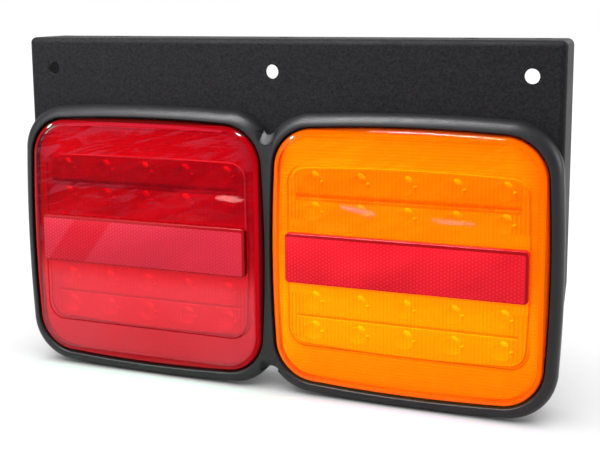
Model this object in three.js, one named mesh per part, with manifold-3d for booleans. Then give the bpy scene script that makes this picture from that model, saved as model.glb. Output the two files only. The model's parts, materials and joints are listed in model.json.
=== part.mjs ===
// Twin LED trailer tail light: a red stop/tail lamp and an amber turn lamp, side by side in one
// moulded surround, bolted to a folded sheet-steel bracket.
//
// Millimetres. +X runs along the width, from the red lamp to the amber one, the lenses face -Y,
// and +Z is up. The origin is the middle of the bracket's top flange, on its upper face.

import * as THREE from "three";
import { mergeVertices } from "three/addons/utils/BufferGeometryUtils.js";
import Module from "manifold-3d";

const wasm = await Module();
wasm.setup();

// ---- Driving dimensions --------------------------------------------------------------------------

const BRACKET = { width: 280, depth: 28, sheet: 2, bend: 3, flangeEnd: -125, flangeCorner: 9 };
const FRONT_Y = -BRACKET.depth / 2; // front face of the bracket's plate
const PLATE_BACK_Y = FRONT_Y + BRACKET.sheet;
const FRONT_HOLES = { x: [-125, 0, 125], z: -16, radius: 3.5 };
const TOP_HOLES = { x: [-127.5, -93.7, 0, 93.7, 127.5], y: FRONT_Y + 19.2, radius: 4 };

const LAMP = { x: 69.1, z: -105.2 }; // centre of each lamp, mirrored to both sides
const SEAT_GAP = 0.05; // parts that rest on each other
const BOLT_RISE = 58.3; // mounting studs, above and below the lamp's centre

// Every outline is a square with rounded corners and slightly bowed sides: half width and half
// height at the middle of the sides, corner radius, and how far the sides bow out.
const SURROUND = { w: 72.9, h: 71, r: 25.5, bow: 1.3, rise: 9, wall: 3.5, round: 4 };
const OPENING = { w: 67.6, h: 65.3, r: 22.4, bow: 1.36 };
const LENS = { w: 66.8, h: 64.5, r: 21.6, bow: 1.36, rise: 10, skirt: 5.4, thick: 2.4 };
const RIM = { w: 66.4, h: 64.1, r: 21.2, bow: 1.36, front: 4.4, back: 2.2 };
const TUB = { w: 61.5, h: 51, r: 9, bow: 0, back: 22, wall: 2 };
const CUTOUT = { w: 62.3, h: 51.8, r: 9.8, bow: 0 };
const OPTIC = { w: 63.4, h: 61.1, r: 18.2, bow: 1.3, front: 5.7, back: 4.5 };
const PAD = { w: 58.3, h: 45, r: 9, bow: 1.3, front: 6.6 };
const BOARD = { w: 58.6, h: 47.6, r: 6, bow: 0, front: 9.1, back: 10.7 };
const REFLECTOR = { w: 58.4, h: 12.3, r: 2, bow: 0, rise: 12.3, pocket: 1 };

const LED = { pitch: 22.9, rows: [37.2, 22.2, -22.2, -37.2], columns: [-2, -1, 0, 1, 2] };
const CUP = { wide: [7, 5.4], narrow: [2.6, 2.6], end: 5.2 };
const POSTS = { x: LED.pitch * 1.5, z: 29.7, radius: 3.5, pilot: 1.6, screw: 1.3 };

const STUD = { radius: 2.5, clear: 2.8, head: 4.5, headThick: 1.1, end: 10.5 };
const CABLE = { x: 0, z: -20, hole: 6.5, bore: 3.5 };
const VENT = { x: -25, z: 20, hole: 3 };

const COLOURS = {
  steel: { color: 0x2b2b2d, roughness: 0.6, metalness: 0.3 },
  surround: { color: 0x2a2a2c, roughness: 0.5, metalness: 0 },
  black: { color: 0x1b1b1c, roughness: 0.6, metalness: 0 },
  rubber: { color: 0x141414, roughness: 0.85, metalness: 0 },
  red: { color: 0xd00c20, roughness: 0.12, metalness: 0 },
  amber: { color: 0xff8c00, roughness: 0.12, metalness: 0 },
  reflector: { color: 0xf0283a, roughness: 0.2, metalness: 0 },
  clear: { color: 0xe8ecee, roughness: 0.1, metalness: 0 },
  board: { color: 0xe9ebe6, roughness: 0.5, metalness: 0 },
  led: { color: 0xf3d667, roughness: 0.3, metalness: 0 },
  zinc: { color: 0xb9bcc0, roughness: 0.35, metalness: 0.9 },
};

// ---- Shapes --------------------------------------------------------------------------------------

const shrink = (o, by) => ({ ...o, w: o.w - by, h: o.h - by, r: Math.max(o.r - by, 0.4) });

// Points of an outline in the X-Z plane, centred on (x, z), counter-clockwise seen from the front:
// each side is a shallow parabola and each corner an arc.
function outlinePoints({ w, h, r, bow }, x, z, segments) {
  const points = [];
  const corner = r - bow;
  for (let quarter = 0; quarter < 4; quarter++) {
    const turn = (quarter * Math.PI) / 2;
    const [out, along] = quarter % 2 ? [h, w] : [w, h];
    const place = (o, a) => points.push(new THREE.Vector2(o, a));
    for (let i = 0; i < segments; i++) {
      const t = (2 * i) / segments - 1;
      place(out - bow * t * t, t * (along - r));
    }
    for (let i = 0; i < 2 * segments; i++) {
      const angle = (i / segments) * (Math.PI / 4);
      place(out - r + corner * Math.cos(angle), along - r + corner * Math.sin(angle));
    }
    const centre = new THREE.Vector2();
    points.slice(-3 * segments).forEach((p) => p.rotateAround(centre, turn));
  }
  return points.map((p) => p.add(new THREE.Vector2(x, z)));
}

const outline = (size, x, z, segments = 3) =>
  new THREE.Shape(outlinePoints(size, x, z, segments));

const hole = (size, x, z, segments = 3) => new THREE.Path(outlinePoints(size, x, z, segments));

// Round hole or disc whose flats lie on the circle, so that it clears a rod of the same radius.
function circle(x, z, radius, Path = THREE.Path) {
  const count = 10;
  const points = Array.from({ length: count }, (_, i) => {
    const angle = (i / count) * Math.PI * 2;
    const reach = radius / Math.cos(Math.PI / count);
    return new THREE.Vector2(x + reach * Math.cos(angle), z + reach * Math.sin(angle));
  });
  return new Path(points);
}

// Slab with a flat outline in the X-Z plane, from its front at y = front to its back at y = back.
function slab(shape, front, back, segments = 3) {
  const options = { depth: back - front, bevelEnabled: false, curveSegments: segments };
  return new THREE.ExtrudeGeometry(shape, options).rotateX(Math.PI / 2).translate(0, back, 0);
}

// Beam with a flat outline in the Y-Z plane, from x = -half to x = half.
function beam(shape, half) {
  const options = { depth: 2 * half, bevelEnabled: false, curveSegments: 3 };
  const axes = new THREE.Matrix4().makeBasis(
    new THREE.Vector3(0, 1, 0),
    new THREE.Vector3(0, 0, 1),
    new THREE.Vector3(1, 0, 0),
  );
  return new THREE.ExtrudeGeometry(shape, options).applyMatrix4(axes).translate(-half, 0, 0);
}

// Solid skinned over outlines of one kind at rising depth: layers run from the back to the front,
// each with its y and its outline's sizes.
function loft(layers, x, z, segments = 4) {
  const rings = layers.map(({ y, size }) => {
    return outlinePoints(size, x, z, segments).map((p) => new THREE.Vector3(p.x, y, p.y));
  });
  const count = rings[0].length;
  const positions = [];
  const face = (...corners) => corners.forEach((p) => positions.push(p.x, p.y, p.z));
  const backCentre = new THREE.Vector3(x, layers[0].y, z);
  const frontCentre = new THREE.Vector3(x, layers.at(-1).y, z);
  for (let i = 0; i < count; i++) {
    const j = (i + 1) % count;
    for (let k = 0; k + 1 < rings.length; k++) {
      const [back, front] = [rings[k], rings[k + 1]];
      face(back[i], back[j], front[i]);
      face(back[j], front[j], front[i]);
    }
    face(rings[0][j], rings[0][i], backCentre);
    face(rings.at(-1)[i], rings.at(-1)[j], frontCentre);
  }
  const geometry = new THREE.BufferGeometry();
  return geometry.setAttribute("position", new THREE.Float32BufferAttribute(positions, 3));
}

// Round piece turned about an axis along Y through (x, z): profile is a list of [radius, y] that
// runs from the front to the back, and starts and ends on the axis or closes on itself.
function turned(profile, x, z, segments = 12) {
  const points = profile.map(([radius, y]) => new THREE.Vector2(radius, y));
  return new THREE.LatheGeometry(points, segments).translate(x, 0, z);
}

const rod = (radius, front, back, x, z, segments) =>
  turned([[0, front], [radius, front], [radius, back], [0, back]], x, z, segments);

// Four-sided frustum along Y through (x, z), given by the half sizes of its two ends.
function frustum([frontW, frontH], front, [backW, backH], back, x, z) {
  const geometry = new THREE.BoxGeometry(2, back - front, 2).translate(0, (front + back) / 2, 0);
  const position = geometry.getAttribute("position");
  for (let i = 0; i < position.count; i++) {
    const atFront = Math.abs(position.getY(i) - front) < 1e-3;
    position.setX(i, x + position.getX(i) * (atFront ? frontW : backW));
    position.setZ(i, z + position.getZ(i) * (atFront ? frontH : backH));
  }
  return geometry;
}

// ---- Booleans ------------------------------------------------------------------------------------

function solid(geometry) {
  const bare = geometry.clone();
  bare.deleteAttribute("normal");
  bare.deleteAttribute("uv");
  const merged = mergeVertices(bare, 1e-4);
  return new wasm.Manifold(
    new wasm.Mesh({
      numProp: 3,
      vertProperties: new Float32Array(merged.getAttribute("position").array),
      triVerts: new Uint32Array(merged.index.array),
    }),
  );
}

function toGeometry(manifold) {
  const { vertProperties, triVerts } = manifold.getMesh();
  const geometry = new THREE.BufferGeometry();
  geometry.setAttribute("position", new THREE.BufferAttribute(vertProperties, 3));
  geometry.setIndex(new THREE.BufferAttribute(triVerts, 1));
  return geometry;
}

const join = (...geometries) =>
  toGeometry(geometries.map(solid).reduce((whole, piece) => whole.add(piece)));

const cut = (geometry, ...tools) =>
  toGeometry(tools.map(solid).reduce((whole, tool) => whole.subtract(tool), solid(geometry)));

const meet = (...geometries) =>
  toGeometry(geometries.map(solid).reduce((whole, piece) => whole.intersect(piece)));

// ---- Assembly ------------------------------------------------------------------------------------

const group = new THREE.Group();

function add(name, geometry, finish) {
  geometry.computeVertexNormals();
  const material = new THREE.MeshStandardMaterial({ ...COLOURS[finish], flatShading: true });
  const mesh = new THREE.Mesh(geometry, material);
  mesh.name = name;
  group.add(mesh);
}

// Depths of a lamp's own pieces are measured back from the bracket's front face.
const depth = (d) => FRONT_Y + d;
const LAMPS = [
  { side: "red", x: -LAMP.x },
  { side: "amber", x: LAMP.x },
];
const boltHoles = (x, radius, front, back) =>
  [-BOLT_RISE, BOLT_RISE].map((rise) => rod(radius, front, back, x, LAMP.z + rise));

// ---- Bracket -------------------------------------------------------------------------------------

// Block with the bracket's three folded edges rounded, set in from the outer faces by inset. It
// runs past the open rear and bottom by the given overrun.
function foldedBlock(inset, overrun) {
  const half = BRACKET.width / 2 - inset;
  const radius = BRACKET.bend - inset;
  const top = -inset;
  const front = FRONT_Y + inset;
  const back = -FRONT_Y + overrun;
  const bottom = LAMP.z - SURROUND.h - overrun;

  const face = new THREE.Shape();
  face.moveTo(-half, bottom);
  face.lineTo(half, bottom);
  face.lineTo(half, top - radius);
  face.absarc(half - radius, top - radius, radius, 0, Math.PI / 2, false);
  face.lineTo(-half + radius, top);
  face.absarc(-half + radius, top - radius, radius, Math.PI / 2, Math.PI, false);

  const plan = new THREE.Shape();
  plan.moveTo(-half, back);
  plan.lineTo(-half, front + radius);
  plan.absarc(-half + radius, front + radius, radius, Math.PI, Math.PI * 1.5, false);
  plan.lineTo(half - radius, front);
  plan.absarc(half - radius, front + radius, radius, Math.PI * 1.5, Math.PI * 2, false);
  plan.lineTo(half, back);

  const profile = new THREE.Shape();
  profile.moveTo(back, bottom);
  profile.lineTo(back, top);
  profile.lineTo(front + radius, top);
  profile.absarc(front + radius, top - radius, radius, Math.PI / 2, Math.PI, false);
  profile.lineTo(front, bottom);

  const height = { depth: top - bottom, bevelEnabled: false, curveSegments: 3 };
  return meet(
    slab(face, front, back),
    new THREE.ExtrudeGeometry(plan, height).translate(0, 0, bottom),
    beam(profile, half),
  );
}

function bracket() {
  const overrun = 5;
  const tray = cut(foldedBlock(0, 0), foldedBlock(BRACKET.sheet, overrun));

  // Below the side flanges the plate follows the lamps, and is notched between them.
  const upper = new THREE.Shape();
  const half = BRACKET.width / 2 + 1;
  const [end, corner] = [BRACKET.flangeEnd, BRACKET.flangeCorner];
  upper.moveTo(-half, 1);
  upper.lineTo(-half, end);
  upper.lineTo(half, end);
  upper.lineTo(half, 1);
  const lobe = shrink(SURROUND, 2.5);
  lobe.w = BRACKET.width / 2 - BRACKET.bend - 0.5 - LAMP.x;
  const notch = { z: LAMP.z - 55.3, flat: 3, half: 9, rise: 4 };
  const web = new THREE.Shape();
  web.moveTo(-notch.half, end + 5);
  web.lineTo(-notch.half, notch.z - notch.rise);
  web.lineTo(-notch.flat, notch.z);
  web.lineTo(notch.flat, notch.z);
  web.lineTo(notch.half, notch.z - notch.rise);
  web.lineTo(notch.half, end + 5);
  const reach = [FRONT_Y - 1, -FRONT_Y + 1];
  const lobes = LAMPS.map(({ x }) => slab(outline(lobe, x, LAMP.z), FRONT_Y - 1, PLATE_BACK_Y));
  const limit = join(slab(upper, ...reach), slab(web, FRONT_Y - 1, PLATE_BACK_Y), ...lobes);

  // Each side flange's lower rear corner is cut off at a slant.
  const slant = new THREE.Shape();
  slant.moveTo(-FRONT_Y + 1, end - 1);
  slant.lineTo(-FRONT_Y + 1, end + corner + 1);
  slant.lineTo(-FRONT_Y - corner - 1, end - 1);

  const plateHole = [FRONT_Y - 1, PLATE_BACK_Y + 1];
  const { x: frontX, z: frontZ, radius: frontRadius } = FRONT_HOLES;
  const frontHoles = frontX.map((x) => rod(frontRadius, ...plateHole, x, frontZ, 20));
  const topHoles = TOP_HOLES.x.map((x) =>
    new THREE.CylinderGeometry(TOP_HOLES.radius, TOP_HOLES.radius, 3 * BRACKET.sheet, 20)
      .rotateX(Math.PI / 2)
      .translate(x, TOP_HOLES.y, 0),
  );
  const lampCuts = LAMPS.flatMap(({ x }) => [
    slab(outline(CUTOUT, x, LAMP.z), ...plateHole),
    ...boltHoles(x, STUD.clear, ...plateHole),
  ]);
  return cut(meet(tray, limit), beam(slant, half), ...frontHoles, ...topHoles, ...lampCuts);
}

add("bracket", bracket(), "steel");

// ---- Surround ------------------------------------------------------------------------------------

// Flat ring that a lamp's rim is bolted down on: the surround's opening, set in by inset, around
// the lamp's cut-out and its bolt holes.
function seatOutline(inset, x) {
  const shape = outline(shrink(OPENING, inset), x, LAMP.z);
  shape.holes.push(hole(CUTOUT, x, LAMP.z));
  for (const rise of [-BOLT_RISE, BOLT_RISE])
    shape.holes.push(circle(x, LAMP.z + rise, STUD.clear));
  return shape;
}

// Layers of the rounded outer wall of one lamp's frame.
function frameLayers() {
  const { rise, wall, round } = SURROUND;
  const layers = [
    { y: depth(-SEAT_GAP), size: SURROUND },
    { y: depth(-wall), size: SURROUND },
  ];
  const steps = 4;
  for (let step = 1; step <= steps; step++) {
    const angle = (step / steps) * (Math.PI / 2);
    const y = depth(-wall - (rise - wall) * Math.sin(angle));
    layers.push({ y, size: shrink(SURROUND, round * (1 - Math.cos(angle))) });
  }
  return layers;
}

// Flat web that fills the notch between the two frames, with a hollow end fillet: direction is 1
// for the upper notch and -1 for the lower one.
function notchWeb(direction) {
  const fillet = 2.7;
  const tip = { x: 2.18, z: 59.8 };
  const apex = 58.7;
  const inner = 46;
  const shape = new THREE.Shape();
  const at = (x, z) => [x, LAMP.z + direction * z];
  shape.moveTo(...at(-tip.x, inner));
  shape.lineTo(...at(-tip.x, tip.z));
  const swing = Math.asin(tip.x / fillet);
  const start = direction > 0 ? Math.PI * 1.5 - swing : Math.PI / 2 + swing;
  const finish = direction > 0 ? Math.PI * 1.5 + swing : Math.PI / 2 - swing;
  shape.absarc(0, at(0, apex + fillet)[1], fillet, start, finish, direction < 0);
  shape.lineTo(...at(tip.x, inner));
  return slab(shape, depth(-6.5), depth(-SEAT_GAP));
}

function surround() {
  const inner = { chamfer: 0.8, flare: 1.1 };
  const ledge = { front: -2.1, back: -0.9 };
  const frames = LAMPS.map(({ x }) => loft(frameLayers(), x, LAMP.z));
  const whole = join(...frames, notchWeb(1), notchWeb(-1));
  const mouths = LAMPS.map(({ x }) => {
    const crest = SURROUND.rise;
    const layers = [
      { y: depth(1), size: OPENING },
      { y: depth(-crest + inner.chamfer), size: OPENING },
      { y: depth(-crest - inner.chamfer), size: shrink(OPENING, -2 * inner.flare) },
    ];
    return loft(layers, x, LAMP.z);
  });
  const ledges = LAMPS.map(({ x }) =>
    slab(seatOutline(-0.6, x), depth(ledge.front), depth(ledge.back)),
  );
  return join(cut(whole, ...mouths), ...ledges);
}

add("surround", surround(), "surround");

// ---- Lamps ---------------------------------------------------------------------------------------

const gasket = (x) => slab(seatOutline(0.4, x), depth(-0.85), depth(-SEAT_GAP));

function housing(x) {
  const floor = TUB.back - TUB.wall;
  const postTop = BOARD.back + SEAT_GAP;
  const cavity = shrink(TUB, TUB.wall);
  const shell = cut(
    join(
      slab(outline(RIM, x, LAMP.z), depth(-RIM.front), depth(-RIM.back)),
      slab(outline(TUB, x, LAMP.z), depth(-RIM.back - 0.5), depth(TUB.back)),
    ),
    slab(outline(cavity, x, LAMP.z), depth(-RIM.front - 1), depth(floor)),
  );
  const posts = [];
  const pilots = [];
  for (const px of [-POSTS.x, POSTS.x])
    for (const pz of [-POSTS.z, POSTS.z]) {
      const place = [x + px, LAMP.z + pz, 10];
      posts.push(rod(POSTS.radius, depth(postTop), depth(floor + 1), ...place));
      pilots.push(rod(POSTS.pilot, depth(postTop - 1), depth(floor - 1.5), ...place));
    }
  const stop = depth(-RIM.front + STUD.headThick + 0.1);
  return cut(
    join(shell, ...posts),
    ...pilots,
    ...boltHoles(x, STUD.clear, depth(-RIM.front - 1), depth(0)),
    ...boltHoles(x, STUD.head + 0.3, depth(-RIM.front - 1), stop),
    rod(CABLE.hole, depth(floor - 1), depth(TUB.back + 1), x + CABLE.x, LAMP.z + CABLE.z),
    rod(VENT.hole, depth(floor - 1), depth(TUB.back + 1), x + VENT.x, LAMP.z + VENT.z),
  );
}

function lensSeal(x) {
  const shape = outline(shrink(LENS, 0.4), x, LAMP.z);
  shape.holes.push(hole(shrink(LENS, 2.2), x, LAMP.z));
  return slab(shape, depth(-LENS.skirt + SEAT_GAP), depth(-RIM.front - SEAT_GAP));
}

function lens(x) {
  const edge = [
    { back: LENS.skirt, inset: 0 },
    { back: 7.2, inset: 0.1 },
    { back: 8.7, inset: 0.7 },
    { back: 9.6, inset: 1.6 },
    { back: LENS.rise, inset: 2.8 },
  ];
  const inner = shrink(LENS, LENS.thick);
  const layers = edge.map(({ back, inset }) => ({ y: depth(-back), size: shrink(LENS, inset) }));
  const cavity = [
    { y: depth(-LENS.skirt + 1), size: inner },
    { y: depth(-LENS.rise + LENS.thick), size: shrink(inner, 0.6) },
  ];
  const pocket = slab(
    outline(shrink(REFLECTOR, -0.3), x, LAMP.z),
    depth(-LENS.rise - 1),
    depth(-LENS.rise + REFLECTOR.pocket),
  );
  return cut(loft(layers, x, LAMP.z), loft(cavity, x, LAMP.z), pocket);
}

function reflector(x) {
  const edge = 0.4;
  const layers = [
    { y: depth(-LENS.rise + REFLECTOR.pocket - SEAT_GAP), size: REFLECTOR },
    { y: depth(-REFLECTOR.rise + edge), size: REFLECTOR },
    { y: depth(-REFLECTOR.rise), size: shrink(REFLECTOR, edge) },
  ];
  return loft(layers, x, LAMP.z, 2);
}

// Clear panel over the board: a flat flange, a raised pad, and a tapered collimator in front of
// each LED.
function opticPanel(x) {
  const flange = slab(outline(OPTIC, x, LAMP.z), depth(-OPTIC.front), depth(-OPTIC.back));
  const pad = slab(outline(PAD, x, LAMP.z), depth(-PAD.front), depth(-OPTIC.front + 0.3));
  const cups = LED.rows.flatMap((z) =>
    LED.columns.map((column) => {
      const [front, back] = [depth(-OPTIC.back - 0.3), depth(CUP.end)];
      return frustum(CUP.wide, front, CUP.narrow, back, x + column * LED.pitch, LAMP.z + z);
    }),
  );
  return join(flange, pad, ...cups);
}

function circuitBoard(x) {
  const shape = outline(BOARD, x, LAMP.z);
  for (const px of [-POSTS.x, POSTS.x])
    for (const pz of [-POSTS.z, POSTS.z])
      shape.holes.push(circle(x + px, LAMP.z + pz, POSTS.pilot));
  return slab(shape, depth(BOARD.front), depth(BOARD.back));
}

// Strip that carries one row of five domed LEDs.
function ledStrip(x, z) {
  const strip = { half: 50.5, rise: 3, thick: 0.8 };
  const dome = { radius: 2.5, height: 2.2 };
  const base = BOARD.front - SEAT_GAP;
  const front = depth(base - strip.thick);
  const bar = new THREE.BoxGeometry(2 * strip.half, strip.thick, 2 * strip.rise);
  bar.translate(x, depth(base - strip.thick / 2), z);
  const domes = LED.columns.map((column) => {
    const profile = [
      [0, front - dome.height],
      [dome.radius * 0.7, front - dome.height * 0.75],
      [dome.radius, front],
      [0, front + strip.thick / 2],
    ];
    return turned(profile, x + column * LED.pitch, z, 6);
  });
  return join(bar, ...domes);
}

function boardScrew(x, z) {
  const head = { radius: 2.8, height: 2.2 };
  const seat = BOARD.front - SEAT_GAP;
  const tip = TUB.back - TUB.wall - 2.5;
  const profile = [
    [0, depth(seat - head.height)],
    [head.radius * 0.7, depth(seat - head.height)],
    [head.radius, depth(seat - head.height * 0.5)],
    [head.radius, depth(seat)],
    [POSTS.screw, depth(seat)],
    [POSTS.screw, depth(tip - 1.5)],
    [0, depth(tip)],
  ];
  return turned(profile, x, z, 8);
}

// Block on the back of the board that the supply wires screw into.
function terminalBlock(x) {
  const size = { w: 7, h: 4, deep: 6.5, entry: 1.3 };
  const back = BOARD.back + SEAT_GAP + size.deep;
  const z = LAMP.z + 8;
  const middle = depth(back - size.deep / 2);
  const body = new THREE.BoxGeometry(2 * size.w, size.deep, 2 * size.h).translate(x, middle, z);
  const entries = [-4, 0, 4].map((px) =>
    new THREE.CylinderGeometry(size.entry, size.entry, size.h, 8)
      .rotateX(Math.PI / 2)
      .translate(x + px, middle, z - size.h),
  );
  return cut(body, ...entries);
}

// Rubber grommet in the floor of the housing: the wires leave the lamp through its bore.
function grommet(x) {
  const floor = TUB.back - TUB.wall;
  const neck = CABLE.hole - 0.3;
  const profile = [
    [CABLE.bore, depth(floor - 1.8)],
    [CABLE.hole + 2, depth(floor - 1.8)],
    [CABLE.hole + 2, depth(floor - 0.1)],
    [neck, depth(floor - 0.1)],
    [neck, depth(TUB.back + 0.1)],
    [CABLE.hole + 2.5, depth(TUB.back + 0.1)],
    [CABLE.hole + 2.5, depth(TUB.back + 1.6)],
    [CABLE.hole, depth(TUB.back + 2.2)],
    [CABLE.bore + 1.4, depth(TUB.back + 5)],
    [CABLE.bore, depth(TUB.back + 5)],
    [CABLE.bore, depth(floor - 1.8)],
  ];
  return turned(profile, x + CABLE.x, LAMP.z + CABLE.z, 14);
}

function ventPlug(x) {
  const floor = TUB.back - TUB.wall;
  const profile = [
    [0, depth(floor - 1)],
    [VENT.hole - 0.6, depth(floor - 1)],
    [VENT.hole - 0.3, depth(floor)],
    [VENT.hole - 0.3, depth(TUB.back + 0.1)],
    [VENT.hole + 1.8, depth(TUB.back + 0.1)],
    [VENT.hole + 1.8, depth(TUB.back + 1.3)],
    [VENT.hole + 0.8, depth(TUB.back + 1.9)],
    [0, depth(TUB.back + 1.9)],
  ];
  return turned(profile, x + VENT.x, LAMP.z + VENT.z, 12);
}

// ---- Fasteners -----------------------------------------------------------------------------------

const WASHER = { radius: 5, front: BRACKET.sheet + SEAT_GAP, thick: 1 };
const LOCK = { radius: 4.4, front: WASHER.front + WASHER.thick + SEAT_GAP, thick: 1.2 };
const NUT = { flats: 8, front: LOCK.front + LOCK.thick + SEAT_GAP, thick: 4 };

function stud(x, z) {
  const headBack = -RIM.front + STUD.headThick + SEAT_GAP;
  const profile = [
    [0, depth(-RIM.front + SEAT_GAP)],
    [STUD.head, depth(-RIM.front + SEAT_GAP)],
    [STUD.head, depth(headBack)],
    [STUD.radius, depth(headBack)],
    [STUD.radius, depth(STUD.end - 0.7)],
    [STUD.radius - 0.7, depth(STUD.end)],
    [0, depth(STUD.end)],
  ];
  return turned(profile, x, z);
}

function washer(x, z) {
  const shape = circle(x, z, WASHER.radius, THREE.Shape);
  shape.holes.push(circle(x, z, STUD.clear));
  return slab(shape, depth(WASHER.front), depth(WASHER.front + WASHER.thick), 7);
}

// Split spring washer: an almost closed ring with a slanted gap.
function lockWasher(x, z) {
  const gap = 0.16;
  const shape = new THREE.Shape();
  shape.absarc(x, z, LOCK.radius, gap, Math.PI * 2 - gap, false);
  shape.absarc(x, z, STUD.clear, Math.PI * 2 - 2.5 * gap, -0.3 * gap, true);
  return slab(shape, depth(LOCK.front), depth(LOCK.front + LOCK.thick), 7);
}

function nut(x, z) {
  const shape = new THREE.Shape();
  const radius = NUT.flats / Math.sqrt(3);
  for (let corner = 0; corner < 6; corner++) {
    const angle = (corner * Math.PI) / 3;
    const point = [x + radius * Math.cos(angle), z + radius * Math.sin(angle)];
    if (corner === 0) shape.moveTo(...point);
    else shape.lineTo(...point);
  }
  shape.holes.push(circle(x, z, STUD.clear));
  return slab(shape, depth(NUT.front), depth(NUT.front + NUT.thick), 7);
}

// ---- One lamp after the other --------------------------------------------------------------------

for (const { side, x } of LAMPS) {
  add(`${side}_gasket`, gasket(x), "rubber");
  add(`${side}_housing`, housing(x), "black");
  add(`${side}_lens_seal`, lensSeal(x), "rubber");
  add(`${side}_lens`, lens(x), side);
  add(`${side}_reflector`, reflector(x), "reflector");
  add(`${side}_optic_panel`, opticPanel(x), "clear");
  add(`${side}_circuit_board`, circuitBoard(x), "board");
  LED.rows.forEach((z, i) => add(`${side}_led_strip_${i + 1}`, ledStrip(x, LAMP.z + z), "led"));
  let screws = 0;
  for (const px of [-POSTS.x, POSTS.x])
    for (const pz of [POSTS.z, -POSTS.z]) {
      screws += 1;
      add(`${side}_board_screw_${screws}`, boardScrew(x + px, LAMP.z + pz), "zinc");
    }
  add(`${side}_terminal_block`, terminalBlock(x), "black");
  add(`${side}_cable_grommet`, grommet(x), "rubber");
  add(`${side}_vent_plug`, ventPlug(x), "rubber");
  for (const [place, rise] of [["upper", BOLT_RISE], ["lower", -BOLT_RISE]]) {
    const spot = [x, LAMP.z + rise];
    add(`${side}_stud_${place}`, stud(...spot), "zinc");
    add(`${side}_washer_${place}`, washer(...spot), "zinc");
    add(`${side}_lock_washer_${place}`, lockWasher(...spot), "zinc");
    add(`${side}_nut_${place}`, nut(...spot), "zinc");
  }
}

export default group;
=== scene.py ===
"""Looks of the twin LED trailer tail light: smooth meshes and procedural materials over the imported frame."""

import json
import math

import bmesh
import bpy
from mathutils import Matrix, Vector

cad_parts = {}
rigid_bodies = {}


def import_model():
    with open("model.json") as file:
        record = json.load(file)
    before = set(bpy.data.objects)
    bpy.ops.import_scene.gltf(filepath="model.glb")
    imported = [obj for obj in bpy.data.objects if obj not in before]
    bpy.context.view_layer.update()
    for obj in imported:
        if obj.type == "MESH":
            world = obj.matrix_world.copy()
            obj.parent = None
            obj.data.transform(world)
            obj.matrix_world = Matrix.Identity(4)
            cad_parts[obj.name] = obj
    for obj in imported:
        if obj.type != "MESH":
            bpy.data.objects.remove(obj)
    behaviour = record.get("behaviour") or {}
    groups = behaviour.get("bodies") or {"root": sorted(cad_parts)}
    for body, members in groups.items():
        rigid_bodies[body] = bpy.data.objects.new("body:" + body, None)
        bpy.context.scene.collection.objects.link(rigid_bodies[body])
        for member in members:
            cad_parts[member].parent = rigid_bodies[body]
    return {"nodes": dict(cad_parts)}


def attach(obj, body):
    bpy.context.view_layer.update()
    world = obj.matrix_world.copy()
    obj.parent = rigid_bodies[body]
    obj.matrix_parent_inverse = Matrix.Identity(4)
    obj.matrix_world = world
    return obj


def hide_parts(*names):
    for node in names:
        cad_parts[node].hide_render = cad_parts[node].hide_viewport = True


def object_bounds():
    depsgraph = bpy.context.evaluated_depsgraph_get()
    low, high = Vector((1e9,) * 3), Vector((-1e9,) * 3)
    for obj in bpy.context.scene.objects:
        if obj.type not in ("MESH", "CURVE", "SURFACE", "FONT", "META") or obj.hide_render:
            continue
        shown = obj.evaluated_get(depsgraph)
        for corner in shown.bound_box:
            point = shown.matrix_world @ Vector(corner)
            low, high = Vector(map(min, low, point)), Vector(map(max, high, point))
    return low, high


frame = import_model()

cad_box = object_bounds()

# ---- Dimensions, in millimetres, the same as the CAD's ---------------------------------------------

MM = 0.001
FRONT, BACK = -14.0, 14  # front face of the bracket's plate, and the rear ends of its flanges
HALF_WIDTH, LOWEST, THICK, FOLD = 140, -176.2, 2, 3  # of the bracket, whose folds are round outside
LAMPS = {"red": -69.1, "amber": 69.1}
LAMP_Z = -105.2
BOLT_RISE, BOLT_HOLE = 58.3, 2.8  # how far above and below a lamp's middle, and the radius
STUD_END = 10.5

# Outlines are squares with rounded corners and bowed sides: half width, half height, corner, bow.
SURROUND = (72.9, 71.0, 25.5, 1.3)
OPENING = (67.6, 65.3, 22.4, 1.36)
LENS = (66.8, 64.5, 21.6, 1.36)
RIM = (66.4, 64.1, 21.2, 1.36)
TUB = (61.5, 51.0, 9.0, 0.0)
CUTOUT = (62.3, 51.8, 9.8, 0.0)
OPTIC = (63.4, 61.1, 18.2, 1.3)
PAD = (58.3, 45.0, 9.0, 1.3)
REFLECTOR = (58.4, 12.3, 2.0, 0.0)
LED_PITCH, LED_ROWS = 22.9, (37.2, 22.2, -22.2, -37.2)
GROOVE_UP = 29.7  # the grooves between the rows
CHANNEL_UP, CHANNEL = 37.6, (54.5, 7.4, 5.0)  # painted shade round the top row: middle, half sizes and corner
SPARK, SPARK_TURN = (2.1, 3.9), -0.6  # painted glint of each LED's optic, and its bright bead: place from the LED, and its slant


def shrink(size, by):
    w, h, r, bow = size
    return (w - by, h - by, max(r - by, 0.4), bow)


def outline(size, side=12, corner=20):
    """Points of an outline around (0, 0), counter-clockwise seen from the front."""
    w, h, r, bow = size
    points = []
    for quarter in range(4):
        out, along = (h, w) if quarter % 2 else (w, h)
        local = []
        for i in range(side):
            t = 2 * i / side - 1
            local.append((out - bow * t * t, t * (along - r)))
        for i in range(corner):
            a = i / corner * math.pi / 2
            local.append((out - r + (r - bow) * math.cos(a), along - r + (r - bow) * math.sin(a)))
        c, s = math.cos(quarter * math.pi / 2), math.sin(quarter * math.pi / 2)
        points += [(a * c - b * s, a * s + b * c) for a, b in local]
    return points


# ---- Mesh building ---------------------------------------------------------------------------------


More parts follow.
